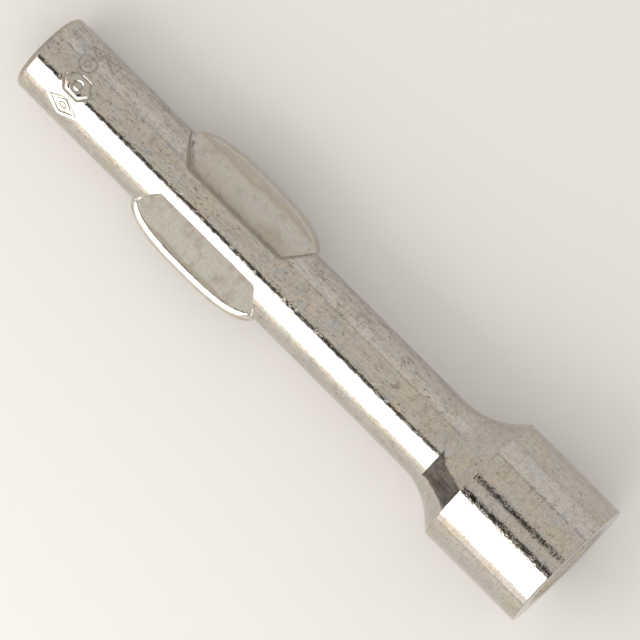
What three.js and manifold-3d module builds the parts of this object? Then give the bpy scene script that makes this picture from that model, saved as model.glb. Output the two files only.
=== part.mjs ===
// Fire hydrant wrench: a solid steel bar with two opposite pinched ears, welded into
// a flared head with a five-sided socket. Millimetres. The tool lies along +X with the
// socket's mouth at +X, the ears point along +Y and -Y, and +Z is up.
//
// Every sub-part is drawn standing along its own Y axis, with the ears along X, and the
// group at the end of the file lays the whole tool down.

import * as THREE from "three";
import { ConvexGeometry } from "three/addons/geometries/ConvexGeometry.js";
import { mergeVertices } from "three/addons/utils/BufferGeometryUtils.js";
import Module from "manifold-3d";

const wasm = await Module();
wasm.setup();

// ---------------------------------------------------------------- driving dimensions

const TOOL_LENGTH = 307.7;
const SEGMENTS = 48;            // facets around every turned surface
const CLEARANCE = 0.3;          // gap left between neighbouring pieces

const BAR_RADIUS = 19.05;       // 1 1/2 inch round bar
const BAR_END_ROUND = 3.2;      // rounded edge of the plain end

const EAR_CENTRE = 106.4;       // from the plain end to the middle of the ears
const EAR_HALF_LENGTH = 36.2;
const EAR_ROOT = 18;            // half width of the ears where their outline starts
const EAR_RISE = 9.5;           // how far the outline bulges beyond that
const EAR_OUTLINE_POWER = 2.85; // 2 is an ellipse, more is squarer
const EAR_THICKNESS = 12;
const EAR_RIM_ROUND = 4;

const POCKET_INNER = 7.7;       // from the bar's axis to the foot of the pocket's wall
const POCKET_HALF_LENGTH = 26.6; // half length of that straight wall, at its foot
const POCKET_OUTER = 31;        // the press tool runs out past the ear here
const POCKET_END_SLOPE = 0.81;  // rise of the oblique end walls, along over across
const POCKET_STEEP_END_SLOPE = 1; // the -X ear's pockets run out further at the plain end
const POCKET_SIDE_LEAN = 0.25;  // how far the straight wall leans back over its height
const POCKET_PLAIN_END_LEAN = 0.4; // the same for the end wall towards the plain end
const POCKET_HEAD_END_LEAN = 2; // and for the end wall towards the head

const JOINT_Y = 230.2;          // root face of the weld between bar and head
const WELD_HALF_WIDTH = 2.5;    // at the surface
const WELD_ROOT_HALF_WIDTH = 0.6;
const WELD_ROOT_RADIUS = 15;
const SPIGOT_RADIUS = 12.7;
const SPIGOT_END = 266.7;
const SPIGOT_CHAMFER = 1;

const FLARE_START = 229.8;
const FLARE_RADIUS = 32.5;      // concave blend from the bar to the cone
const FLARE_ANGLE = THREE.MathUtils.degToRad(40.4);
const SHOULDER_Y = 256.4;
const HEAD_RADIUS = 31.75;
const HEAD_EDGE = 0.5;          // small chamfer around the mouth

const PENTAGON_POINT_TO_FLAT = 38.9; // 1 1/2 inch nut plus clearance
const PENTAGON_TURN = THREE.MathUtils.degToRad(5);
const RECESS_FLOOR_Y = 268.7;
const PENTAGON_FOOT_Y = 270.7;
const RELIEF_RADIUS = 22.2;     // turned groove where the broach runs out
const RELIEF_LENGTH = 4;
const LEAD_IN_RADIUS = 22.6;    // cone around the mouth that guides the nut in
const LEAD_IN_FOOT_RADIUS = 17.2;
const LEAD_IN_DEPTH = 3;

const FLARE_ARC_POINTS = 8;
const END_ROUND_POINTS = 4;
const EAR_OUTLINE_POINTS = 24;  // along each ear
const OVERRUN = 2;              // how far a cutting shape passes the face it cuts

// ---------------------------------------------------------------- solids and booleans

function toManifold(geometry) {
  const bare = geometry.clone();
  bare.deleteAttribute("normal");
  bare.deleteAttribute("uv");
  const welded = mergeVertices(bare, 1e-4);
  return new wasm.Manifold(new wasm.Mesh({
    numProp: 3,
    vertProperties: new Float32Array(welded.attributes.position.array),
    triVerts: new Uint32Array(welded.index.array),
  }));
}

function toGeometry(manifold) {
  const mesh = manifold.getMesh();
  const geometry = new THREE.BufferGeometry();
  geometry.setAttribute("position", new THREE.BufferAttribute(mesh.vertProperties, 3));
  geometry.setIndex(new THREE.BufferAttribute(mesh.triVerts, 1));
  geometry.computeVertexNormals();
  return geometry;
}

// Turn a profile of [radius, height] pairs about the Y axis. The facets' flats, not
// their corners, lie at the stated radius, and a flat faces each of +-X and +-Z.
function turned(profile) {
  const flatToCorner = 1 / Math.cos(Math.PI / SEGMENTS);
  const points = profile.map(([radius, y]) => new THREE.Vector2(radius * flatToCorner, y));
  return new THREE.LatheGeometry(points, SEGMENTS, Math.PI / SEGMENTS);
}

function turnedPlug(radius, from, to) {
  return turned([[0, from], [radius, from], [radius, to], [0, to]]);
}

// ---------------------------------------------------------------- the bar and its ears

// Radius of the concave flare at a height inside its arc.
function flareRadiusAt(y) {
  const along = y - FLARE_START;
  return BAR_RADIUS + FLARE_RADIUS - Math.sqrt(FLARE_RADIUS ** 2 - along ** 2);
}

function barProfile() {
  const profile = [[0, 0]];
  for (let i = 0; i <= END_ROUND_POINTS; i += 1) {
    const angle = (Math.PI / 2) * (i / END_ROUND_POINTS);
    profile.push([
      BAR_RADIUS - BAR_END_ROUND * (1 - Math.sin(angle)),
      BAR_END_ROUND * (1 - Math.cos(angle)),
    ]);
  }
  profile.push([BAR_RADIUS, JOINT_Y - WELD_HALF_WIDTH - CLEARANCE]);
  profile.push([WELD_ROOT_RADIUS, JOINT_Y - WELD_ROOT_HALF_WIDTH - CLEARANCE]);
  profile.push([WELD_ROOT_RADIUS, JOINT_Y - CLEARANCE / 2]);
  profile.push([SPIGOT_RADIUS, JOINT_Y - CLEARANCE / 2]);
  profile.push([SPIGOT_RADIUS, SPIGOT_END - SPIGOT_CHAMFER]);
  profile.push([SPIGOT_RADIUS - SPIGOT_CHAMFER, SPIGOT_END]);
  profile.push([0, SPIGOT_END]);
  return profile;
}

// Half width of the ears' outline at a distance from the middle of the ears.
function earHalfWidth(along) {
  const fraction = Math.min(1, Math.abs(along) / EAR_HALF_LENGTH);
  return EAR_ROOT + EAR_RISE * Math.sqrt(1 - fraction ** EAR_OUTLINE_POWER);
}

// Both ears as one plate through the bar, with a rounded rim.
function earPlate() {
  const outline = [];
  for (const side of [1, -1]) {
    for (let i = 0; i <= EAR_OUTLINE_POINTS; i += 1) {
      const along = -side * EAR_HALF_LENGTH * Math.cos((Math.PI * i) / EAR_OUTLINE_POINTS);
      outline.push(new THREE.Vector2(side * earHalfWidth(along), EAR_CENTRE + along));
    }
  }
  const depth = EAR_THICKNESS - 2 * EAR_RIM_ROUND;
  const plate = new THREE.ExtrudeGeometry(new THREE.Shape(outline), {
    depth,
    bevelThickness: EAR_RIM_ROUND,
    bevelSize: EAR_RIM_ROUND,
    bevelOffset: -EAR_RIM_ROUND,
    bevelSegments: 4,
  });
  plate.translate(0, 0, -depth / 2);
  return plate;
}

// The shape pressed into the bar above one ear face: a straight wall beside the bar's
// middle, two oblique end walls, and a flat floor level with the ear's face.
function pocketPunch(side, face) {
  const floor = EAR_THICKNESS / 2;
  const wallHeight = BAR_RADIUS - floor;
  const plainEndSlope = side < 0 ? POCKET_STEEP_END_SLOPE : POCKET_END_SLOPE;
  const points = [];
  for (const height of [floor, BAR_RADIUS + OVERRUN]) {
    const lean = (height - floor) / wallHeight;
    for (const across of [POCKET_INNER - POCKET_SIDE_LEAN * lean, POCKET_OUTER]) {
      const run = across - POCKET_INNER;
      const plainReach = POCKET_HALF_LENGTH + plainEndSlope * run;
      const headReach = POCKET_HALF_LENGTH + POCKET_END_SLOPE * run;
      const plainEnd = EAR_CENTRE - plainReach - POCKET_PLAIN_END_LEAN * lean;
      const headEnd = EAR_CENTRE + headReach + POCKET_HEAD_END_LEAN * lean;
      points.push(new THREE.Vector3(side * across, plainEnd, face * height));
      points.push(new THREE.Vector3(side * across, headEnd, face * height));
    }
  }
  return new ConvexGeometry(points);
}

function shankGeometry() {
  let shank = toManifold(turned(barProfile()));
  for (const side of [1, -1]) {
    for (const face of [1, -1]) {
      shank = shank.subtract(toManifold(pocketPunch(side, face)));
    }
  }
  return toGeometry(shank.add(toManifold(earPlate())));
}

// ---------------------------------------------------------------- the weld

function weldGeometry() {
  const low = JOINT_Y - WELD_HALF_WIDTH;
  const high = JOINT_Y + WELD_HALF_WIDTH;
  const inner = WELD_ROOT_RADIUS + CLEARANCE;
  return turned([
    [inner, JOINT_Y - WELD_ROOT_HALF_WIDTH],
    [BAR_RADIUS, low],
    [BAR_RADIUS, FLARE_START],
    [flareRadiusAt(high), high],
    [inner, JOINT_Y + WELD_ROOT_HALF_WIDTH],
    [inner, JOINT_Y - WELD_ROOT_HALF_WIDTH],
  ]);
}

// ---------------------------------------------------------------- the head

function headProfile() {
  const start = JOINT_Y + WELD_HALF_WIDTH + CLEARANCE;
  const startAngle = Math.asin((start - FLARE_START) / FLARE_RADIUS);
  const profile = [
    [0, JOINT_Y + CLEARANCE / 2],
    [WELD_ROOT_RADIUS, JOINT_Y + CLEARANCE / 2],
    [WELD_ROOT_RADIUS, JOINT_Y + WELD_ROOT_HALF_WIDTH + CLEARANCE],
  ];
  for (let i = 0; i <= FLARE_ARC_POINTS; i += 1) {
    const angle = startAngle + (FLARE_ANGLE - startAngle) * (i / FLARE_ARC_POINTS);
    const y = FLARE_START + FLARE_RADIUS * Math.sin(angle);
    profile.push([flareRadiusAt(y), y]);
  }
  profile.push([HEAD_RADIUS, SHOULDER_Y]);
  profile.push([HEAD_RADIUS, TOOL_LENGTH - HEAD_EDGE]);
  profile.push([HEAD_RADIUS - HEAD_EDGE, TOOL_LENGTH]);
  profile.push([0, TOOL_LENGTH]);
  return profile;
}

function pentagonPrism() {
  const cornerRadius = PENTAGON_POINT_TO_FLAT / (1 + Math.cos(Math.PI / 5));
  const length = TOOL_LENGTH + OVERRUN - PENTAGON_FOOT_Y;
  const prism = new THREE.CylinderGeometry(cornerRadius, cornerRadius, length, 5);
  // One corner points along the -X ear before the turn.
  prism.rotateY(PENTAGON_TURN - Math.PI / 2);
  prism.translate(0, PENTAGON_FOOT_Y + length / 2, 0);
  return prism;
}

function leadInCone() {
  const spread = (OVERRUN / LEAD_IN_DEPTH) * (LEAD_IN_RADIUS - LEAD_IN_FOOT_RADIUS);
  return turned([
    [0, TOOL_LENGTH - LEAD_IN_DEPTH],
    [LEAD_IN_FOOT_RADIUS, TOOL_LENGTH - LEAD_IN_DEPTH],
    [LEAD_IN_RADIUS, TOOL_LENGTH],
    [LEAD_IN_RADIUS + spread, TOOL_LENGTH + OVERRUN],
    [0, TOOL_LENGTH + OVERRUN],
  ]);
}

function headGeometry() {
  const bore = turnedPlug(
    SPIGOT_RADIUS + CLEARANCE, JOINT_Y - OVERRUN, RECESS_FLOOR_Y + OVERRUN,
  );
  const relief = turnedPlug(
    RELIEF_RADIUS, RECESS_FLOOR_Y, RECESS_FLOOR_Y + RELIEF_LENGTH,
  );
  const head = toManifold(turned(headProfile()))
    .subtract(toManifold(bore))
    .subtract(toManifold(relief))
    .subtract(toManifold(pentagonPrism()))
    .subtract(toManifold(leadInCone()));
  return toGeometry(head);
}

// ---------------------------------------------------------------- the assembly

function platedSteel(color, roughness) {
  return new THREE.MeshStandardMaterial({ color, roughness, metalness: 1 });
}

function piece(name, geometry, material) {
  const mesh = new THREE.Mesh(geometry, material);
  mesh.name = name;
  return mesh;
}

const wrench = new THREE.Group();
wrench.name = "hydrant_wrench";
wrench.add(piece("shank_with_ears", shankGeometry(), platedSteel("#b9b8b2", 0.3)));
wrench.add(piece("joint_weld", weldGeometry(), platedSteel("#b2b0a8", 0.38)));
wrench.add(piece("socket_head", headGeometry(), platedSteel("#bbbab4", 0.28)));

wrench.rotation.z = -Math.PI / 2;
wrench.position.set(-TOOL_LENGTH / 2, 0, HEAD_RADIUS);

export default wrench;
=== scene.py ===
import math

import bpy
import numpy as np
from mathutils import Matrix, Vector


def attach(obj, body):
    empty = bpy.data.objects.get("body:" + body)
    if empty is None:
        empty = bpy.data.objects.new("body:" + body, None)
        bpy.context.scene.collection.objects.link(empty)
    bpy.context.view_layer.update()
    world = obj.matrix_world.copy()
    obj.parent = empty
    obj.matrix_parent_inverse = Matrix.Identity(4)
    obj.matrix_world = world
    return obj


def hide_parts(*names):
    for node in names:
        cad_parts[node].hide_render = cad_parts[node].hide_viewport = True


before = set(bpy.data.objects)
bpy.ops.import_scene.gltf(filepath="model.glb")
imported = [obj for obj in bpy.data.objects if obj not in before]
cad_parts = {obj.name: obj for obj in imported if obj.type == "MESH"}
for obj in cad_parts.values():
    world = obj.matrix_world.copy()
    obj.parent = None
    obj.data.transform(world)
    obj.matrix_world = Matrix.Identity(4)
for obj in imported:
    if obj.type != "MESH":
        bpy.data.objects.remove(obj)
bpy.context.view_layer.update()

# A hydrant wrench in bright zinc plate, lying on a pale floor. The CAD pieces are replaced
# by fine meshes of the same size, with rounded edges, stamped marks and the press marks
# of the ears. Sizes are in millimetres until place() turns them into the frame's metres.
# The camera's and the studio's are in metres.

MM = 0.001
TAU = 2 * math.pi

# ------------------------------------------------------------------ sizes, as in the CAD

TOOL_LENGTH = 307.7
BAR_RADIUS = 19.05
BAR_END_ROUND = 3.2
HEAD_RADIUS = 31.75

EAR_CENTRE = 106.4               # from the plain end, as every place along the tool
EAR_HALF_LENGTH = 36.2
EAR_ROOT = 18.0
EAR_RISE = 9.5
EAR_OUTLINE_POWER = 2.85
EAR_HALF_THICKNESS = 6.0
EAR_RIM_ROUND = 4.0

POCKET_INNER = 7.7
POCKET_HALF_LENGTH = 26.6
POCKET_END_SLOPE = 0.81
POCKET_STEEP_END_SLOPE = 1.0     # the +Y ear, at the plain end
POCKET_SIDE_LEAN = 0.25
POCKET_PLAIN_END_LEAN = 0.4
POCKET_HEAD_END_LEAN = 2.0
POCKET_LEAN_LIMIT = 1.3          # the lean ends here, counting an ear's face as 0 and the
                                 # bar's skin as 1

JOINT = 230.2
WELD_HALF_WIDTH = 2.5
WELD_ROOT_HALF_WIDTH = 0.6
WELD_ROOT_RADIUS = 15.0
WELD_ROOT_GAP = 0.3              # between the weld's root and the metal beside it
JOINT_GAP = 0.15                 # from the joint's plane to the metal on either side
SPIGOT_RADIUS = 12.7
SPIGOT_END = 266.7
SPIGOT_CHAMFER = 1.0
BORE_RADIUS = 13.0               # the hole in the head that the spigot sits in
BORE_CHAMFER = 0.4

FLARE_START = 229.8
FLARE_RADIUS = 32.5
FLARE_ANGLE = math.radians(40.4)
SHOULDER = 256.4

RECESS_FLOOR = 268.7
RELIEF_TOP = 272.7
RELIEF_RADIUS = 22.2
LEAD_IN_RADIUS = 22.6
LEAD_IN_SLOPE = 1.8              # across over along
PENTAGON_APOTHEM = 38.9 / (1 + 1 / math.cos(math.pi / 5))
PENTAGON_TURN = math.radians(5)

# ------------------------------------------------------------------ finish of the edges

POCKET_EDGE = 0.12               # radius left along the pockets' top edges
POCKET_CORNER = 0.9              # inside corners between the pockets' walls
POCKET_FILLET = 0.12             # foot of the pockets' walls
FLOOR_SINK = 0.3                 # keeps the bar's pocket floor just under the ears' faces
POCKET_FOOT_SHADE = 0.6               # painted shade along the foot of the +Y ear's pockets
POCKET_FOOT_SHADE_WIDTH = 0.30
SHOULDER_EDGE = 0.3
MOUTH_EDGE = 0.5
RELIEF_ROUND = 0.5
RELIEF_ROUND_INSET = 0.15        # of the middle of that round, from the sides it joins
HAIRLINE = 0.02                  # gap that shows between neighbouring pieces
SUPPORT = 0.04                   # ring this close to a sharp corner keeps its sides flat

COLUMNS = 360                    # around the bar
HEAD_COLUMNS = 360
WELD_RINGS = 9
FLARE_RINGS = 26
EAR_STRETCH = 43.0               # half length of the ears' stretch of the bar
OBLIQUE_WALLS = (25.0, 39.0)     # the pockets' end walls, from the ears' middle
MARK_STEP = 0.42                 # between the bar's rings at the marks
OBLIQUE_STEP = 0.34              # at the pockets' end walls
POCKET_STEP = 0.85               # between those walls
NEARBY_STEP = 1.2                # next to the marks and the ears
PLAIN_STEP = 5.0
LAST_STEP = 4.0                  # from the ears to the weld
CROWDING_AT_QUARTERS = 0.25      # more columns at the top, the bottom and the ears' rims
CROWDING_AT_RIMS = 0.45          # and more again at the rims

# ------------------------------------------------------------------ camera

VIEW_TILT = math.radians(6.0)    # camera leans towards the socket
VIEW_ROLL = math.radians(5.5)    # and towards the +Y ear
VIEW_DISTANCE = 2.93
TOOL_SLANT = math.radians(-44.88)  # direction of +X in the picture
PICTURE_WIDTH_AT_TOOL = 0.2668
AIM = Vector((0.00845, 0.0002, HEAD_RADIUS * MM))
SENSOR = 36.0


def view_axes():
    """The camera's right, up and backward directions in the frame."""
    back = Vector((
        math.sin(VIEW_TILT),
        math.sin(VIEW_ROLL) * math.cos(VIEW_TILT),
        math.cos(VIEW_ROLL) * math.cos(VIEW_TILT),
    ))
    along = (Vector((1, 0, 0)) - back * back.x).normalized()
    across = back.cross(along)
    right = along * math.cos(TOOL_SLANT) - across * math.sin(TOOL_SLANT)
    up = along * math.sin(TOOL_SLANT) + across * math.cos(TOOL_SLANT)
    return right, up, back


def add_camera():
    right, up, back = view_axes()
    data = bpy.data.cameras.new("camera")
    data.sensor_width = SENSOR
    data.lens = SENSOR * VIEW_DISTANCE / PICTURE_WIDTH_AT_TOOL
    data.clip_end = 20
    camera = bpy.data.objects.new("camera", data)
    turn = Matrix((right, up, back)).transposed()
    camera.matrix_world = Matrix.Translation(AIM + back * VIEW_DISTANCE) @ turn.to_4x4()
    bpy.context.collection.objects.link(camera)
    bpy.context.scene.camera = camera


# ------------------------------------------------------------------ meshes

def rounded_max(a, b, radius):
    """Where both distances are negative, with this radius along the edge between them."""
    inside = np.minimum(np.maximum(a, b), -radius)
    return inside + np.hypot(np.maximum(a + radius, 0), np.maximum(b + radius, 0))


def rounded_min(a, b, radius):
    """Where either distance is negative, with this radius in the corner between them."""
    return -rounded_max(-a, -b, radius)


def stations(*spans):
    """Places along the tool: each span is (start, end, step), and ends are met exactly."""
    places = []
    for start, end, step in spans:
        count = max(1, round(abs(end - start) / step))
        places.append(np.linspace(start, end, count, endpoint=False))
    places.append([spans[-1][1]])
    return np.concatenate(places)


def corner(before, at, after, radius, steps=4):
    """Points of a small arc that rounds the corner at `at` of a profile."""
    before, at, after = (np.array(p, float) for p in (before, at, after))
    back = (before - at) / np.linalg.norm(before - at)
    ahead = (after - at) / np.linalg.norm(after - at)
    half = math.acos(float(np.clip(back @ ahead, -1, 1))) / 2
    reach = radius / math.tan(half)
    middle = (back + ahead) / np.linalg.norm(back + ahead)
    centre = at + middle * radius / math.sin(half)
    first = at + back * reach - centre
    last = at + ahead * reach - centre
    points = [tuple(at + back * (reach + SUPPORT))]
    for i in range(steps + 1):
        mix = first * (1 - i / steps) + last * (i / steps)
        points.append(tuple(centre + mix * radius / np.linalg.norm(mix)))
    points.append(tuple(at + ahead * (reach + SUPPORT)))
    return points


def sharp(before, at, after):
    """The corner `at` itself, with a point close by on either side."""
    before, at, after = (np.array(p, float) for p in (before, at, after))
    back = (before - at) / np.linalg.norm(before - at)
    ahead = (after - at) / np.linalg.norm(after - at)
    return [tuple(at + back * SUPPORT), tuple(at), tuple(at + ahead * SUPPORT)]


def place(along, radius, angle):
    """Points in the frame, in metres, from millimetres along the tool and about its axis."""
    x = along - TOOL_LENGTH / 2
    y = radius * np.cos(angle)
    z = HEAD_RADIUS + radius * np.sin(angle)
    return np.stack(np.broadcast_arrays(x, y, z), -1) * MM


def ring_mesh(name, along, radius, angles, loop=False):
    """A closed mesh from rings of points. `along` and `radius` hold one row a ring. The
    first and last rings are closed by a point on the axis, or joined to each other."""
    rings, columns = radius.shape
    points = place(along, radius, angles).reshape(-1, 3)
    this = np.arange(columns)
    nxt = (this + 1) % columns
    faces = []
    last = rings if loop else rings - 1
    for ring in range(last):
        low, high = ring * columns, ((ring + 1) % rings) * columns
        faces.extend(zip(low + this, low + nxt, high + nxt, high + this))
    if not loop:
        caps = place(np.array([along[0, 0], along[-1, 0]]), 0.0, 0.0)
        points = np.concatenate([points, caps])
        first_cap, last_cap = rings * columns, rings * columns + 1
        end = (rings - 1) * columns
        faces.extend((first_cap, b, a) for a, b in zip(this, nxt))
        faces.extend((last_cap, a, b) for a, b in zip(end + this, end + nxt))
    mesh = bpy.data.meshes.new(name)
    mesh.from_pydata(points.tolist(), [], [tuple(map(int, f)) for f in faces])
    mesh.validate()
    mesh.shade_smooth()
    piece = bpy.data.objects.new(name, mesh)
    bpy.context.collection.objects.link(piece)
    return piece


def rings_of(profile, columns):
    """Rings for a turned shape, from (along, radius) pairs."""
    table = np.array(profile, float)
    return [np.repeat(table[:, k:k + 1], columns, axis=1) for k in (0, 1)]


# ------------------------------------------------------------------ the bar and its ears

def bar_angles():
    """Angles of the bar's columns, closest together at the quarters and at the rims."""
    even = np.arange(COLUMNS) * TAU / COLUMNS
    return (even - CROWDING_AT_QUARTERS * np.sin(4 * even) / 4
            - CROWDING_AT_RIMS * np.sin(2 * even) / 2)


OUTLINE_LIMIT = 0.992            # the outline is too steep to measure from beyond this share


def ear_outline_distance(reach, across):
    """About how far a point is outside the ears' outline, seen square to their faces."""
    near = np.minimum(reach, EAR_HALF_LENGTH * OUTLINE_LIMIT)
    fraction = near / EAR_HALF_LENGTH
    root = np.sqrt(1 - fraction ** EAR_OUTLINE_POWER)
    width = EAR_ROOT + EAR_RISE * root
    steep = (EAR_RISE * EAR_OUTLINE_POWER * fraction ** (EAR_OUTLINE_POWER - 1)
             / (2 * EAR_HALF_LENGTH * root))
    return np.maximum((across - width) / np.hypot(1, steep), reach - EAR_HALF_LENGTH)


def pocket_walls_distance(along, y, z):
    """About how far a point is outside a pocket's straight wall and two end walls."""
    x = along - EAR_CENTRE
    reach, across, up = np.abs(x), np.abs(y), np.abs(z)
    lean = (up - EAR_HALF_THICKNESS) / (BAR_RADIUS - EAR_HALF_THICKNESS)
    lean = np.clip(lean, 0, POCKET_LEAN_LIMIT)
    end_lean = np.where(x > 0, POCKET_HEAD_END_LEAN, POCKET_PLAIN_END_LEAN)
    side_wall = POCKET_INNER - POCKET_SIDE_LEAN * lean - across
    steep = (x < 0) & (y > 0)
    slope = np.where(steep, POCKET_STEEP_END_SLOPE, POCKET_END_SLOPE)
    end_line = POCKET_HALF_LENGTH + slope * (across - POCKET_INNER)
    end_wall = (reach - end_line - end_lean * lean) / np.hypot(1, slope)
    return rounded_max(side_wall, end_wall, POCKET_CORNER)


def shank_distance(along, y, z):
    """About how far a point is outside the bar, its pockets and its ears."""
    reach, across, up = np.abs(along - EAR_CENTRE), np.abs(y), np.abs(z)
    walls = pocket_walls_distance(along, y, z)
    floor = EAR_HALF_THICKNESS - FLOOR_SINK - up
    pocket = rounded_max(walls, floor, POCKET_FILLET)
    bar = rounded_max(np.hypot(y, z) - BAR_RADIUS, -pocket, POCKET_EDGE)
    rim = ear_outline_distance(reach, across)
    ears = rounded_max(rim, up - EAR_HALF_THICKNESS, EAR_RIM_ROUND)
    return rounded_min(bar, ears, POCKET_FILLET)


INSIDE_RADIUS = 3.0              # always inside the bar
OUTSIDE_RADIUS = 32.0            # always outside the ears
HALVINGS = 26


def shank_radius(along, angle):
    """Distance from the axis to the surface, found by halving."""
    low = np.full(np.broadcast(along, angle).shape, INSIDE_RADIUS)
    high = np.full(low.shape, OUTSIDE_RADIUS)
    for _ in range(HALVINGS):
        middle = (low + high) / 2
        outside = shank_distance(along, middle * np.cos(angle), middle * np.sin(angle)) > 0
        high = np.where(outside, middle, high)
        low = np.where(outside, low, middle)
    return (low + high) / 2


MARK_DEPTH = 0.42
MARK_HALF_WIDTH = 0.8
MARK_SPAN = (14.0, 33.0)         # the stretch of the bar that the marks lie in
GROOVE_SHAPE = 1.2               # above 1 makes the strokes' bottoms narrower
BURR_HEIGHT = 0.25               # share of the depth that is thrown up beside a stroke
BURR_PLACE = 1.25                # in half widths from the middle of the stroke
BURR_WIDTH = 0.25
STROKE_REACH = 1.8               # in half widths too, where the burr has died away

# Millimetres from the plain end, degrees round from +Y, the radii of the rings, and the
# polygons as sides, apothem, turn and squeeze.
MARKS = (
    (23.6, 125, (1.2,), ((4, 5.0, math.pi / 4, 0.62),)),
    (23.4, 91, (2.0,), ((6, 6.2, math.pi / 6, 0.72),)),
    (19.6, 61, (4.0, 1.4), ()),
    (19.4, 34, (), ((3, 2.1, 0.0, 1.0),)),
    (27.6, 34, (), ((3, 2.1, 0.0, 1.0),)),
)


def polygon_distance(along, across, sides, apothem, turn, squeeze):
    """Distance from the outline of a regular polygon, made narrower by `squeeze`."""
    farthest = np.full(along.shape, -np.inf)
    for i in range(sides):
        angle = turn + TAU * i / sides
        p, q = math.cos(angle), math.sin(angle) / squeeze
        farthest = np.maximum(farthest, (along * p + across * q) / math.hypot(p, q)
                              - apothem / math.hypot(p, q))
    return np.abs(farthest)


def ring_distance(along, across, radius):
    return np.abs(np.hypot(along, across) - radius)


def stroke_distance(along, angle):
    """Distance from the middle of the nearest stroke, over the bar laid out flat."""
    nearest = np.full(along.shape, np.inf)
    for middle, degrees, rings, polygons in MARKS:
        turn = (angle - math.radians(degrees) + math.pi) % TAU - math.pi
        p, q = along - middle, -BAR_RADIUS * turn
        for radius in rings:
            nearest = np.minimum(nearest, ring_distance(p, q, radius))
        for sides, apothem, turned, squeeze in polygons:
            outline = polygon_distance(p, q, sides, apothem, turned, squeeze)
            nearest = np.minimum(nearest, outline)
    return nearest


def mark_depth(along, angle):
    """Depth of plain geometric marks stamped round the bar near its end, and the groove's
    share of it, which the material darkens as painted shade."""
    stroke = np.clip(stroke_distance(along, angle) / MARK_HALF_WIDTH, 0, STROKE_REACH)
    groove = np.cos(np.minimum(stroke, 1) * math.pi / 2) ** GROOVE_SHAPE
    burr = BURR_HEIGHT * np.exp(-((stroke - BURR_PLACE) / BURR_WIDTH) ** 2)
    return MARK_DEPTH * (groove - burr), groove


def body_stations(last):
    """Rings along the straight bar up to `last`, closest at the marks and oblique walls."""
    start, end = MARK_SPAN
    low, high = EAR_CENTRE - EAR_STRETCH, EAR_CENTRE + EAR_STRETCH
    near, far = OBLIQUE_WALLS
    return stations(
        (BAR_END_ROUND + 0.8, start, NEARBY_STEP),
        (start, end, MARK_STEP),
        (end, low, PLAIN_STEP),
        (low, EAR_CENTRE - far, NEARBY_STEP),
        (EAR_CENTRE - far, EAR_CENTRE - near, OBLIQUE_STEP),
        (EAR_CENTRE - near, EAR_CENTRE + near, POCKET_STEP),
        (EAR_CENTRE + near, EAR_CENTRE + far, OBLIQUE_STEP),
        (EAR_CENTRE + far, high, NEARBY_STEP),
        (high, last, LAST_STEP),
    )


def shank_profile():
    """The bar without its ears, from the middle of the plain end to the spigot's end."""
    flat = BAR_RADIUS - BAR_END_ROUND
    edge = (JOINT - WELD_HALF_WIDTH - HAIRLINE, BAR_RADIUS)
    root = (JOINT - WELD_ROOT_HALF_WIDTH - WELD_ROOT_GAP, WELD_ROOT_RADIUS)
    profile = [(0, r) for r in (3, 7, 11, 14, flat - 0.6)]
    profile += corner((0, 0), (0, BAR_RADIUS), (JOINT, BAR_RADIUS), BAR_END_ROUND, 12)
    profile += [(s, BAR_RADIUS) for s in body_stations(edge[0] - 1)]
    profile += sharp((0, BAR_RADIUS), edge, root)
    profile += [
        root,
        (JOINT - JOINT_GAP, WELD_ROOT_RADIUS),
        (JOINT - JOINT_GAP, SPIGOT_RADIUS),
        (SPIGOT_END - SPIGOT_CHAMFER, SPIGOT_RADIUS),
        (SPIGOT_END, SPIGOT_RADIUS - SPIGOT_CHAMFER),
        (SPIGOT_END, 6),
    ]
    return profile


def pocket_foot_shade(along, radius, angles):
    """Painted shade along the foot of the +Y ear's pockets."""
    y, z = radius * np.cos(angles), radius * np.sin(angles)
    walls = pocket_walls_distance(along, y, z)
    foot_shade = POCKET_FOOT_SHADE * np.exp(-(walls / POCKET_FOOT_SHADE_WIDTH) ** 2)
    return np.where(y > 0, foot_shade, 0)


def make_shank():
    along, radius = rings_of(shank_profile(), COLUMNS)
    angles = bar_angles()
    on_bar = radius[:, 0] == BAR_RADIUS
    eared = (np.abs(along[:, 0] - EAR_CENTRE) < EAR_STRETCH + 0.1) & on_bar
    radius[eared] = shank_radius(along[eared], angles)
    start, end = MARK_SPAN
    marked = (along[:, 0] > start - 0.1) & (along[:, 0] < end + 0.1)
    depth, groove = mark_depth(along[marked], angles)
    radius[marked] -= depth
    # painted shade: darkest in the marks' grooves and along the foot of the +Y ear's pockets
    painted_shade = np.zeros_like(radius)
    painted_shade[marked] = groove
    painted_shade[eared] = pocket_foot_shade(along[eared], radius[eared], angles)
    piece = ring_mesh("shank", along, radius, angles)
    hold_painted_shade(piece, painted_shade)
    soften_ear_normals(piece, along, radius, angles, eared)
    return piece


def hold_painted_shade(piece, painted_shade):
    """Stores the painted shade on the mesh's points, where the material reads it."""
    values = np.zeros(len(piece.data.vertices), np.float32)
    values[:painted_shade.size] = painted_shade.ravel()
    layer = piece.data.attributes.new("painted_shade", "FLOAT", "POINT")
    layer.data.foreach_set("value", values)


SLOPE_STEP = 0.05                # how far apart the surface's slope is measured


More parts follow.
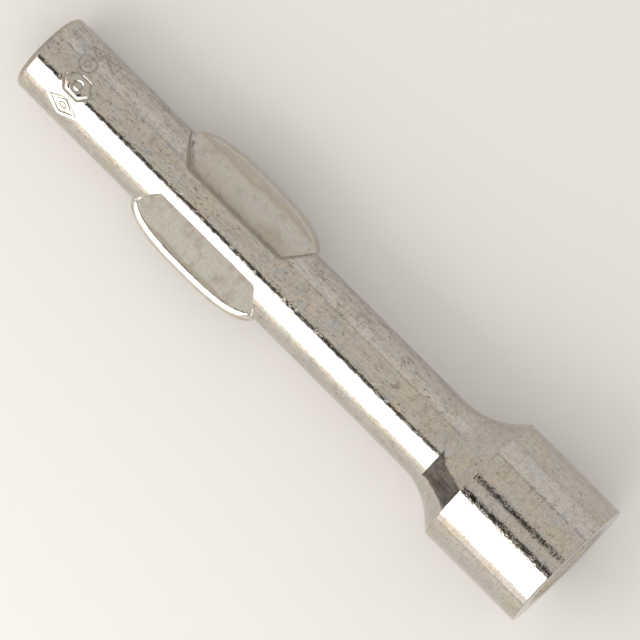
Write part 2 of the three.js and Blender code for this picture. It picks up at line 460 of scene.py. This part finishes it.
def soften_ear_normals(piece, along, radius, angles, eared):
    """Gives the ears the exact shape's normals, so that their slanting edges stay clean."""
    s = along[eared]
    y = radius[eared] * np.cos(angles)
    z = radius[eared] * np.sin(angles)
    slopes = []
    for ds, dy, dz in SLOPE_STEP * np.eye(3):
        ahead = shank_distance(s + ds, y + dy, z + dz)
        slopes.append(ahead - shank_distance(s - ds, y - dy, z - dz))
    exact = np.stack(slopes, -1)
    exact /= np.linalg.norm(exact, axis=-1, keepdims=True)
    mesh = piece.data
    normals = np.empty(len(mesh.vertices) * 3, np.float32)
    mesh.vertices.foreach_get("normal", normals)
    normals = normals.reshape(-1, 3)
    rows = np.flatnonzero(eared)
    index = (rows[:, None] * COLUMNS + np.arange(COLUMNS)).ravel()
    normals[index] = exact.reshape(-1, 3)
    mesh.normals_split_custom_set_from_vertices(normals.tolist())


# ------------------------------------------------------------------ the weld and the head

def flare_radius_at(s):
    """The flare's concave curve."""
    return BAR_RADIUS + FLARE_RADIUS - math.sqrt(FLARE_RADIUS ** 2 - (s - FLARE_START) ** 2)


def make_weld():
    low = JOINT - WELD_HALF_WIDTH
    high = JOINT + WELD_HALF_WIDTH
    inner = WELD_ROOT_RADIUS + WELD_ROOT_GAP
    root_low = (JOINT - WELD_ROOT_HALF_WIDTH, inner)
    root_high = (JOINT + WELD_ROOT_HALF_WIDTH, inner)
    places = np.linspace(low, high, WELD_RINGS)
    skin = [(s, flare_radius_at(max(s, FLARE_START))) for s in places]
    profile = [root_low]
    profile += sharp(root_low, skin[0], skin[1]) + skin[1:-1]
    profile += sharp(skin[-2], skin[-1], root_high) + [root_high]
    along, radius = rings_of(profile, COLUMNS)
    return ring_mesh("weld_ring", along, radius, bar_angles(), loop=True)


def pentagon_radius(angle):
    """Distance from the axis to the five-sided recess's wall."""
    sector = TAU / 5
    off = (angle - PENTAGON_TURN) % sector - sector / 2
    return PENTAGON_APOTHEM / np.cos(off)


MOUTH_FACE_RADII = (30.6, 28.0, 25.0, LEAD_IN_RADIUS + 0.3)
LEAD_IN_STEPS = (                # shares of the way down the lead-in cone, then the wall
    (0.0, 0.0),
    (0.12, 0.0),
    (0.9, 0.0),
    (1.0, 0.03),
    (1.0, 0.12),
)
WALL_STEPS = (0.4, 0.7, 0.97, 1.0)


def head_outside():
    """The head's profile from its bore, over the flare, cone and shoulder, to the mouth."""
    start = JOINT + WELD_HALF_WIDTH + HAIRLINE
    cone_start = (FLARE_START + FLARE_RADIUS * math.sin(FLARE_ANGLE),
                  BAR_RADIUS + FLARE_RADIUS * (1 - math.cos(FLARE_ANGLE)))
    shoulder = (SHOULDER, HEAD_RADIUS)
    mouth = (TOOL_LENGTH, HEAD_RADIUS)
    root = (JOINT + WELD_ROOT_HALF_WIDTH + WELD_ROOT_GAP, WELD_ROOT_RADIUS)
    places = np.linspace(start, cone_start[0], FLARE_RINGS)
    flare = [(s, flare_radius_at(s)) for s in places]
    profile = [(JOINT + JOINT_GAP, BORE_RADIUS), (JOINT + JOINT_GAP, WELD_ROOT_RADIUS), root]
    profile += sharp(root, flare[0], flare[1]) + flare[1:]
    profile += np.linspace(cone_start, shoulder, 5)[1:-1].tolist()
    profile += corner(cone_start, shoulder, mouth, SHOULDER_EDGE)
    straight = stations((SHOULDER + 0.8, TOOL_LENGTH - 1.2, PLAIN_STEP))
    profile += [(s, HEAD_RADIUS) for s in straight]
    profile += corner(shoulder, mouth, (TOOL_LENGTH, 0), MOUTH_EDGE)
    profile += [(TOOL_LENGTH, r) for r in MOUTH_FACE_RADII]
    return profile


def recess_rings(wall):
    """Rings down the recess: lead-in cone, five-sided wall, relief groove, floor, bore."""
    foot = TOOL_LENGTH - (LEAD_IN_RADIUS - wall) / LEAD_IN_SLOPE
    rings = []
    for inward, downward in LEAD_IN_STEPS:
        along = TOOL_LENGTH + (foot - TOOL_LENGTH) * inward + (RELIEF_TOP - foot) * downward
        rings.append((along, LEAD_IN_RADIUS + (wall - LEAD_IN_RADIUS) * inward))
    for downward in WALL_STEPS:
        rings.append((foot + (RELIEF_TOP - foot) * downward, wall))
    rings += [
        (RELIEF_TOP, np.maximum(RELIEF_RADIUS - RELIEF_ROUND, wall)),
        (RELIEF_TOP - RELIEF_ROUND_INSET, RELIEF_RADIUS - RELIEF_ROUND_INSET),
        (RELIEF_TOP - RELIEF_ROUND, RELIEF_RADIUS),
        (RECESS_FLOOR + RELIEF_ROUND, RELIEF_RADIUS),
        (RECESS_FLOOR + RELIEF_ROUND_INSET, RELIEF_RADIUS - RELIEF_ROUND_INSET),
        (RECESS_FLOOR, RELIEF_RADIUS - RELIEF_ROUND),
        (RECESS_FLOOR, BORE_RADIUS + BORE_CHAMFER),
        (RECESS_FLOOR, BORE_RADIUS),
        (RECESS_FLOOR - 0.6, BORE_RADIUS),
        (JOINT + 1, BORE_RADIUS),
    ]
    return rings


def make_head():
    angles = np.arange(HEAD_COLUMNS) * TAU / HEAD_COLUMNS
    rings = head_outside() + recess_rings(pentagon_radius(angles))
    along = np.stack([np.broadcast_to(s, angles.shape) for s, _ in rings])
    radius = np.stack([np.broadcast_to(r, angles.shape) for _, r in rings])
    return ring_mesh("head", along, radius, angles, loop=True)


# ------------------------------------------------------------------ materials

class Graph:
    """A new material, and short calls for building its nodes."""

    def __init__(self, name):
        self.material = bpy.data.materials.new(name)
        self.material.use_nodes = True
        self.tree = self.material.node_tree
        self.tree.nodes.clear()
        self.coords = self.node("ShaderNodeTexCoord").outputs["Object"]

    def node(self, kind, settings=None, **inputs):
        made = self.tree.nodes.new(kind)
        for key, value in (settings or {}).items():
            setattr(made, key, value)
        for key, value in inputs.items():
            self.feed(made.inputs[key.replace("_", " ")], value)
        return made

    def feed(self, socket, value):
        if isinstance(value, bpy.types.NodeSocket):
            self.tree.links.new(value, socket)
        else:
            socket.default_value = value

    def stretched(self, scale):
        made = self.node("ShaderNodeMapping", Vector=self.coords, Scale=scale)
        return made.outputs["Vector"]

    def noise(self, size_mm, detail=2.0, roughness=0.5, stretch=(1, 1, 1), distortion=0.0):
        """Noise with features of about this size. stretch above 1 packs them closer."""
        made = self.node("ShaderNodeTexNoise", Vector=self.stretched(stretch),
                         Scale=1000 / size_mm, Detail=detail, Roughness=roughness,
                         Distortion=distortion)
        return made.outputs["Fac"]

    def spread(self, value, low, high, to_low=0.0, to_high=1.0, smooth=False):
        """Runs from to_low to to_high as the value goes from low to high, and stops there."""
        kind = {"interpolation_type": "SMOOTHSTEP" if smooth else "LINEAR"}
        made = self.node("ShaderNodeMapRange", kind, Value=value)
        for key, number in (("From Min", low), ("From Max", high),
                            ("To Min", to_low), ("To Max", to_high)):
            made.inputs[key].default_value = number
        return made.outputs["Result"]

    def spread_mm(self, value, low, high, to_low=0.0, to_high=1.0, smooth=False):
        """The same for a distance, with its two limits in millimetres."""
        return self.spread(value, low * MM, high * MM, to_low, to_high, smooth)

    def math(self, operation, a, b=0.0):
        made = self.node("ShaderNodeMath", {"operation": operation})
        self.feed(made.inputs[0], a)
        self.feed(made.inputs[1], b)
        return made.outputs[0]

    def axes(self):
        return self.node("ShaderNodeSeparateXYZ", Vector=self.coords).outputs

    def about_axis(self):
        """Where a point is beside the tool's axis."""
        made = self.node("ShaderNodeVectorMath", {"operation": "MULTIPLY_ADD"})
        self.feed(made.inputs[0], self.coords)
        made.inputs[1].default_value = (0, 1, 1)
        made.inputs[2].default_value = (0, 0, -HEAD_RADIUS * MM)
        return made.outputs["Vector"]

    def mix(self, amount, a, b):
        made = self.node("ShaderNodeMix", {"data_type": "RGBA"})
        self.feed(made.inputs[0], amount)
        self.feed(made.inputs[6], a)
        self.feed(made.inputs[7], b)
        return made.outputs[2]

    def bump(self, height, distance_mm, normal=None):
        made = self.node("ShaderNodeBump", Height=height, Strength=1.0)
        made.inputs["Distance"].default_value = distance_mm * MM
        if normal is not None:
            self.feed(made.inputs["Normal"], normal)
        return made.outputs["Normal"]

    def finish(self, shader):
        """Joins the shader to the material's output."""
        out = self.node("ShaderNodeOutputMaterial")
        self.tree.links.new(shader.outputs[0], out.inputs["Surface"])
        return self.material


BAR_SILVER = (0.595, 0.548, 0.482, 1)
HEAD_SILVER = (0.580, 0.545, 0.498, 1)
WELD_SILVER = (0.570, 0.520, 0.448, 1)
STRAW = (0.605, 0.535, 0.440, 1)
ICE = (0.530, 0.540, 0.532, 1)
ROSE = (0.610, 0.530, 0.485, 1)
DULL = (0.300, 0.285, 0.265, 1)
# dark colour of the pits, also used for the painted shade in grooves and pocket feet
PIT_AND_SHADE = (0.130, 0.122, 0.115, 1)
TARNISH = (0.240, 0.165, 0.105, 1)
# pale colour of the ears' faces, used for their painted reflection band and the paler -Y ear
PALE_FACE = (0.705, 0.677, 0.615, 1)
STREAK = (0.480, 0.400, 0.315, 1)


def tints(g, silver):
    """The passivate's slow drift between silver, straw, ice blue and rose."""
    color = g.mix(g.spread(g.noise(16, detail=3), 0.42, 0.62, smooth=True), silver, STRAW)
    patch = g.noise(6, detail=4, roughness=0.6, distortion=0.6)
    color = g.mix(g.spread(patch, 0.52, 0.66, 0, 0.8, smooth=True), color, ICE)
    blush = g.noise(8, detail=3, distortion=1.2)
    return g.mix(g.spread(blush, 0.54, 0.68, 0, 0.75, smooth=True), color, ROSE)


def dark_spots(g, grain, amount):
    """Small pits and short crooked scribbles, in loose clusters."""
    cluster = g.spread(g.noise(8, detail=2), 0.42, 0.58)
    spot = g.spread(g.noise(1.25, detail=2, stretch=grain), 0.625, 0.68)
    line = g.math("ABSOLUTE", g.math("SUBTRACT", g.noise(2.6, detail=2, stretch=grain,
                                                         distortion=0.8), 0.5))
    scribble = g.spread(line, 0.0, 0.022, 1, 0)
    sparse = g.spread(g.noise(3.4, detail=1), 0.54, 0.62)
    marks = g.math("MAXIMUM", g.math("MULTIPLY", spot, cluster),
                   g.math("MULTIPLY", scribble, sparse))
    return g.math("MULTIPLY", marks, amount)


def mm_from_plain_end(s):
    """A place along the tool as the frame's X."""
    return (s - TOOL_LENGTH / 2) * MM


def off_centre(g, value, centre):
    return g.math("ABSOLUTE", g.math("SUBTRACT", value, centre))


def smudge(g, color, along, across, half_length, half_width, amount):
    """A soft brown smudge on the upper side of the tool, placed in millimetres."""
    x, y, z = g.axes()
    off_x = off_centre(g, x, mm_from_plain_end(along))
    off_y = off_centre(g, y, across * MM)
    near = g.math("MULTIPLY", g.spread_mm(off_x, 0, half_length, 1, 0, smooth=True),
                  g.spread_mm(off_y, 0, half_width, 1, 0, smooth=True))
    near = g.math("MULTIPLY", near, g.spread_mm(z, 34, 37))
    cloudy = g.spread(g.noise(3.0, detail=2), 0.35, 0.6, amount * 0.35, amount)
    return g.mix(g.math("MULTIPLY", near, cloudy), color, STREAK)


HEAT_MARK = (238.6, 6.2, 6.0, 5.0, 0.7)   # place, place across, half sizes and amount
EAR_STAINS = (                   # the same, placed from the ears' middle
    (17, 11.5, 11.0, 4.5, 0.9),
    (-24, 20.5, 6.0, 4.0, 0.9),
    (15, -17.0, 6.0, 4.0, 0.9),
)
SHEEN_BAND_RISE = (8.5, 15.5)          # millimetres across the ears' faces, for a pale band that is a painted reflection
SHEEN_BAND_FALL = (19.5, 23.5)
BROWN_STREAK = 22.2
BROWN_STREAK_WIDTH = 1.8
FACE_DRIFT = 0.006               # how far, in metres, the bands wander across the faces


def ear_face_mask(g):
    """1 on the flat faces of the ears and 0 on the rest of the bar."""
    x, y, z = g.axes()
    level = off_centre(g, z, HEAD_RADIUS * MM)
    reach = off_centre(g, x, mm_from_plain_end(EAR_CENTRE))
    flat = g.spread_mm(level, EAR_HALF_THICKNESS + 0.2, EAR_HALF_THICKNESS + 0.6, 1, 0)
    outer = g.spread_mm(g.math("ABSOLUTE", y), POCKET_INNER + 0.3, POCKET_INNER + 0.9)
    short = g.spread_mm(reach, EAR_HALF_LENGTH - 0.7, EAR_HALF_LENGTH + 0.3, 1, 0)
    return g.math("MULTIPLY", g.math("MULTIPLY", flat, outer), short)


def ear_face_color(g, color):
    """On the pressed faces: a pale band, which is a painted reflection, paler metal over the
    -Y ear, a brown streak and stains, and fine lines on the -Y ear.
    """
    y = g.axes()[1]
    left = g.spread_mm(y, -1, 1, 1, 0)
    drift = g.math("MULTIPLY", g.math("SUBTRACT", g.noise(18, detail=2), 0.5), FACE_DRIFT)
    across = g.math("ADD", g.math("ABSOLUTE", y), drift)
    # painted reflection: a pale band across the middle of the faces
    pale = g.math("MULTIPLY", g.spread_mm(across, *SHEEN_BAND_RISE, smooth=True),
                  g.spread_mm(across, *SHEEN_BAND_FALL, 1, 0, smooth=True))
    pale = g.math("ADD", g.math("MULTIPLY", pale, 0.45), g.math("MULTIPLY", left, 0.75))
    face = g.mix(pale, g.mix(0.22, color, DULL), PALE_FACE)
    streak = g.spread_mm(off_centre(g, across, BROWN_STREAK * MM),
                         0, BROWN_STREAK_WIDTH, 0.7, 0, smooth=True)
    blotch = g.spread(g.noise(6, detail=3, distortion=0.3), 0.53, 0.67, 0, 0.45)
    face = g.mix(g.math("MAXIMUM", streak, blotch), face, STREAK)
    for offset, *stain in EAR_STAINS:
        face = smudge(g, face, EAR_CENTRE + offset, *stain)
    hatch = g.spread(g.noise(0.45, detail=2, stretch=(1, 0.1, 0.1)), 0.42, 0.62, 0, 0.13)
    return g.mix(g.math("MULTIPLY", hatch, left), face, DULL)


GRIT = 0.45                      # how strongly the grit dulls the metal
SCRATCH_DIRECTIONS = (           # along the tool and around it
    (0.05, 1, 1),
    (1, 0.08, 0.08),
)


def dullness(g, grain):
    """Fine grey grit in cloudy patches, and faint scratches."""
    cloud = g.noise(3.0, detail=4, roughness=0.65, stretch=grain)
    fine = g.noise(1.0, detail=3, roughness=0.7, stretch=grain)
    dull = g.math("ADD", g.spread(cloud, 0.46, 0.68, 0, GRIT * 0.7),
                  g.spread(fine, 0.46, 0.72, 0, GRIT))
    for direction in SCRATCH_DIRECTIONS:
        line = g.noise(0.7, detail=2, stretch=direction)
        dull = g.math("ADD", dull, g.spread(line, 0.55, 0.68, 0, GRIT * 0.4))
    return dull


def end_tarnish(g, from_mm, to_mm):
    """How brown the metal is at an end: strongest at its edge, faint near the axis."""
    x = g.axes()[0]
    end = g.spread(x, mm_from_plain_end(from_mm), mm_from_plain_end(to_mm), 0.8, 0)
    off_axis = g.node("ShaderNodeVectorMath", {"operation": "LENGTH"},
                      Vector=g.about_axis()).outputs["Value"]
    return g.math("MULTIPLY", end, g.spread_mm(off_axis, 13.5, 16.5, 0.2, 1))


def relief(g, marks, tool_marks):
    """Orange peel, the fine lines that tools left, and pits at the dark marks."""
    normal = g.bump(g.noise(1.7, detail=1.5, roughness=0.5), 0.05)
    normal = g.bump(g.noise(0.35, detail=2, stretch=tool_marks), 0.004, normal)
    return g.bump(g.math("SUBTRACT", 1.0, marks), 0.03, normal)


def plated_steel(name, silver, roughness, grain, tool_marks, tarnish, cool_side_amount,
                 spots=0.7, ears=False, heat_mark=False):
    """Clear-passivated zinc: mottled tints, small dark pits and a faint orange peel.
    `tarnish` says where along the tool, in millimetres, a brown tint starts and fades. The
    next argument makes the +Y side greyer and cooler, a painted cool reflection."""
    g = Graph(name)
    color = tints(g, silver)
    if heat_mark:
        color = smudge(g, color, *HEAT_MARK)
    # painted cool reflection: the +Y side is tinted ice-grey and dulled more
    cool_side = g.spread_mm(g.axes()[1], 8, 16, 0, cool_side_amount)
    marks = dark_spots(g, grain, spots)
    dull = g.math("MULTIPLY", dullness(g, grain), g.math("ADD", 1.0, cool_side))
    shine = g.spread(g.noise(2.2, detail=4), 0.3, 0.7, roughness * 0.75, roughness * 1.35)
    if ears:
        on_face = ear_face_mask(g)
        color = g.mix(on_face, color, ear_face_color(g, color))
        quiet = g.math("SUBTRACT", 1.0, g.math("MULTIPLY", on_face, 0.75))
        marks, dull, cool_side = (g.math("MULTIPLY", part, quiet) for part in (marks, dull, cool_side))
        # painted shade from the mesh, in the marks' grooves and at the pockets' foot,
        # darkened with the pits' colour
        painted_shade = g.node("ShaderNodeAttribute", {"attribute_name": "painted_shade"}).outputs["Fac"]
        marks = g.math("MAXIMUM", marks, g.math("MULTIPLY", painted_shade, 0.4))
        shine = g.math("ADD", shine, g.math("MULTIPLY", on_face, 0.07))
    # the +Y side's painted cool reflection
    color = g.mix(g.math("MULTIPLY", cool_side, 0.6), color, ICE)
    color = g.mix(end_tarnish(g, *tarnish), color, TARNISH)
    color = g.mix(dull, color, DULL)
    color = g.mix(marks, color, PIT_AND_SHADE)
    shine = g.math("ADD", shine, g.math("MULTIPLY", marks, 0.25))
    shader = g.node("ShaderNodeBsdfPrincipled", Base_Color=color, Roughness=shine,
                    Normal=relief(g, marks, tool_marks))
    shader.inputs["Metallic"].default_value = 1.0
    return g.finish(shader)


# ------------------------------------------------------------------ studio

FLOOR_SPAN = 8.0
FLOOR_COLOR = (0.89, 0.885, 0.88, 1)
BLACK = (0.004, 0.004, 0.004, 1)
MOTTLE_DARK = (0.13, 0.135, 0.145, 1)
MOTTLE_PALE = (0.46, 0.46, 0.47, 1)
SOFTBOX_ANGLE = -56.9            # degrees from the camera's side, as for every card
SOFTBOX_SPAN = (-0.55, 0.55)     # along X, as the spans of the cards
SOFTBOX_FACE_SPAN = (-0.55, 0.14)
CARD_SPAN = (-0.6, 0.7)
LENS_SPAN = (0.060, 0.124)


def around(degrees, distance):
    """A point beside the tool's axis, this far round from the camera's side towards +Y."""
    turn = VIEW_ROLL + math.radians(degrees)
    return Vector((0, math.sin(turn), math.cos(turn))) * distance + Vector((0, 0, AIM.z))


def add_softbox(degrees, distance, width, x_span, radiance, color):
    """A soft rectangular light beside the tool. It does not show in the metal."""
    length = x_span[1] - x_span[0]
    data = bpy.data.lights.new("softbox", "AREA")
    data.shape = "RECTANGLE"
    data.size = width
    data.size_y = length
    data.color = color
    data.energy = radiance * math.pi * width * length
    light = bpy.data.objects.new("softbox", data)
    back = (around(degrees, 1.0) - around(degrees, 0.0)).normalized()
    up = Vector((1, 0, 0))
    side = up.cross(back)
    middle = around(degrees, distance) + Vector((sum(x_span) / 2, 0, 0))
    turn = Matrix((side, up, back)).transposed()
    light.matrix_world = Matrix.Translation(middle) @ turn.to_4x4()
    light.visible_camera = False
    light.visible_glossy = False
    bpy.context.collection.objects.link(light)


def glowing_material(name, radiance, color=(1, 1, 1, 1)):
    g = Graph(name)
    return g.finish(g.node("ShaderNodeEmission", Strength=radiance, Color=color))


def plain_material(name, color, roughness):
    g = Graph(name)
    shader = g.node("ShaderNodeBsdfPrincipled", Base_Color=color)
    shader.inputs["Roughness"].default_value = roughness
    shader.inputs["Specular IOR Level"].default_value = 0.2
    return g.finish(shader)


def mottled_material(name):
    g = Graph(name)
    patches = g.spread(g.noise(2.2, detail=3, roughness=0.65), 0.38, 0.60)
    color = g.mix(patches, MOTTLE_DARK, MOTTLE_PALE)
    return g.finish(g.node("ShaderNodeBsdfPrincipled", Roughness=1.0, Base_Color=color))


def studio_mesh(name, points, faces, material):
    mesh = bpy.data.meshes.new(name)
    mesh.from_pydata([tuple(p) for p in points], [], faces)
    piece = bpy.data.objects.new(name, mesh)
    mesh.materials.append(material)
    bpy.context.collection.objects.link(piece)
    return piece


def flat_panel(name, corners, material):
    return studio_mesh(name, corners, [tuple(range(len(corners)))], material)


def hide_from_all_but_reflections(card):
    card.visible_camera = False
    card.visible_diffuse = False
    card.visible_shadow = False


def add_flag(name, degrees, half_width, distance, x_span, material):
    """A card that only reflections see: black ones put dark bands into the metal. Its half
    width is in degrees as well."""
    corners = []
    reach = distance / math.cos(math.radians(half_width))
    for x, side in ((0, -1), (1, -1), (1, 1), (0, 1)):
        point = around(degrees + side * half_width, reach)
        corners.append(point + Vector((x_span[x], 0, 0)))
    hide_from_all_but_reflections(flat_panel(name, corners, material))


EDGE_ON_SLOPE = 0.105            # how fast what the bar mirrors runs back along it
FLARE_CARD_X = 0.0875
FLARE_CARD_ROWS = (              # distance from the axis, and the degrees it lies between
    (0.018, -46, 6),
    (0.0235, -54, -11),
    (0.029, -62, -24),
    (0.055, -66, -29),
)
FLARE_CARD_PARTS = 12


def add_flare_card(material):
    """A small card bent round the bar's end, edge on to what the bar mirrors, so that
    only the flare shows it."""
    points = []
    for i in range(FLARE_CARD_PARTS + 1):
        for reach, first, last in FLARE_CARD_ROWS:
            point = around(first + (last - first) * i / FLARE_CARD_PARTS, reach)
            points.append((FLARE_CARD_X - EDGE_ON_SLOPE * reach, point.y, point.z))
    rows = len(FLARE_CARD_ROWS)
    faces = []
    for i in range(FLARE_CARD_PARTS):
        for row in range(rows - 1):
            near = i * rows + row
            faces.append((near, near + 1, near + rows + 1, near + rows))
    hide_from_all_but_reflections(studio_mesh("flare_card", points, faces, material))


def add_floor():
    """The tool rests on its shoulder and on the plain end's rim, so the floor meets both."""
    material = plain_material("pale_floor", FLOOR_COLOR, 0.8)
    tilt = math.atan2(HEAD_RADIUS - BAR_RADIUS, SHOULDER - BAR_END_ROUND)
    touch = Vector(((SHOULDER - TOOL_LENGTH / 2) * MM, 0, 0))
    slope = Vector((math.cos(tilt), 0, -math.sin(tilt))) * FLOOR_SPAN
    side = Vector((0, FLOOR_SPAN, 0))
    corners = [touch - slope - side, touch + slope - side,
               touch + slope + side, touch - slope + side]
    flat_panel("floor", corners, material)


SKY = (                          # by how far a direction points towards +Y
    (0.74, (0.780, 0.750, 0.700, 1)),
    (0.80, (0.890, 0.865, 0.825, 1)),
    (0.93, (0.890, 0.865, 0.825, 1)),
    (0.995, (0.860, 0.830, 0.790, 1)),
)


def add_world():
    world = bpy.data.worlds.new("studio")
    bpy.context.scene.world = world
    world.use_nodes = True
    tree = world.node_tree
    tree.nodes.clear()
    place_in_sky = tree.nodes.new("ShaderNodeTexCoord").outputs["Generated"]
    split = tree.nodes.new("ShaderNodeSeparateXYZ")
    tree.links.new(place_in_sky, split.inputs[0])
    ramp = tree.nodes.new("ShaderNodeValToRGB")
    for sideways, color in SKY:
        stop = ramp.color_ramp.elements.new(sideways)
        stop.color = color
    ramp.color_ramp.elements.remove(ramp.color_ramp.elements[0])
    ramp.color_ramp.elements.remove(ramp.color_ramp.elements[-1])
    tree.links.new(split.outputs["Y"], ramp.inputs["Fac"])
    background = tree.nodes.new("ShaderNodeBackground")
    tree.links.new(ramp.outputs["Color"], background.inputs["Color"])
    out = tree.nodes.new("ShaderNodeOutputWorld")
    tree.links.new(background.outputs[0], out.inputs["Surface"])


def add_studio():
    """A card shows in the metal at half its angle. The glowing face is the white stripe, the
    skirt the dim one beyond it, the gap card the dark band on the stripe's other side, the
    seam card the thin line at the +Y side, and the lens card the dark patch on the crest
    of the head."""
    bpy.context.scene.view_settings.view_transform = "Standard"
    add_world()
    add_floor()
    add_softbox(SOFTBOX_ANGLE, distance=0.63, width=0.548, x_span=SOFTBOX_SPAN,
                radiance=0.95, color=(1.0, 0.97, 0.93))
    glow = glowing_material("softbox_glow", 4.2)
    skirt = glowing_material("skirt_glow", 1.42, (1.0, 0.96, 0.89, 1))
    black = plain_material("black_card", BLACK, 1.0)
    add_flag("softbox_face", SOFTBOX_ANGLE, 23.8, 0.62, SOFTBOX_FACE_SPAN, glow)
    add_flag("skirt", -88, 7, 0.61, SOFTBOX_SPAN, skirt)
    add_flag("gap_card", -27, 5, 0.6, CARD_SPAN, black)
    add_flag("seam_card", 47, 0.7, 0.6, CARD_SPAN, black)
    add_flag("lens_card", 0.5, 4.2, 0.5, LENS_SPAN, black)
    add_flare_card(mottled_material("flare_card"))


# ------------------------------------------------------------------ assembly

def settle(piece, node, material):
    piece.data.materials.append(material)
    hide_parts(node)
    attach(piece, "root")


add_camera()
add_studio()
settle(make_shank(), "shank_with_ears",
       plated_steel("zinc_bar", BAR_SILVER, roughness=0.12,
                    grain=(0.5, 1.1, 1.1), tool_marks=(0.05, 1, 1),
                    tarnish=(0.2, 2.0), cool_side_amount=0.7, ears=True))
settle(make_weld(), "joint_weld",
       plated_steel("zinc_weld", WELD_SILVER, roughness=0.14,
                    grain=(1, 1, 1), tool_marks=(1, 1, 1),
                    tarnish=(-1, -0.5), cool_side_amount=0.4))
settle(make_head(), "socket_head",
       plated_steel("zinc_head", HEAD_SILVER, roughness=0.11,
                    grain=(1.1, 1.1, 1.1), tool_marks=(1, 0.05, 0.05),
                    tarnish=(TOOL_LENGTH + 0.5, TOOL_LENGTH - 0.4), cool_side_amount=0.1,
                    spots=0.55, heat_mark=True))
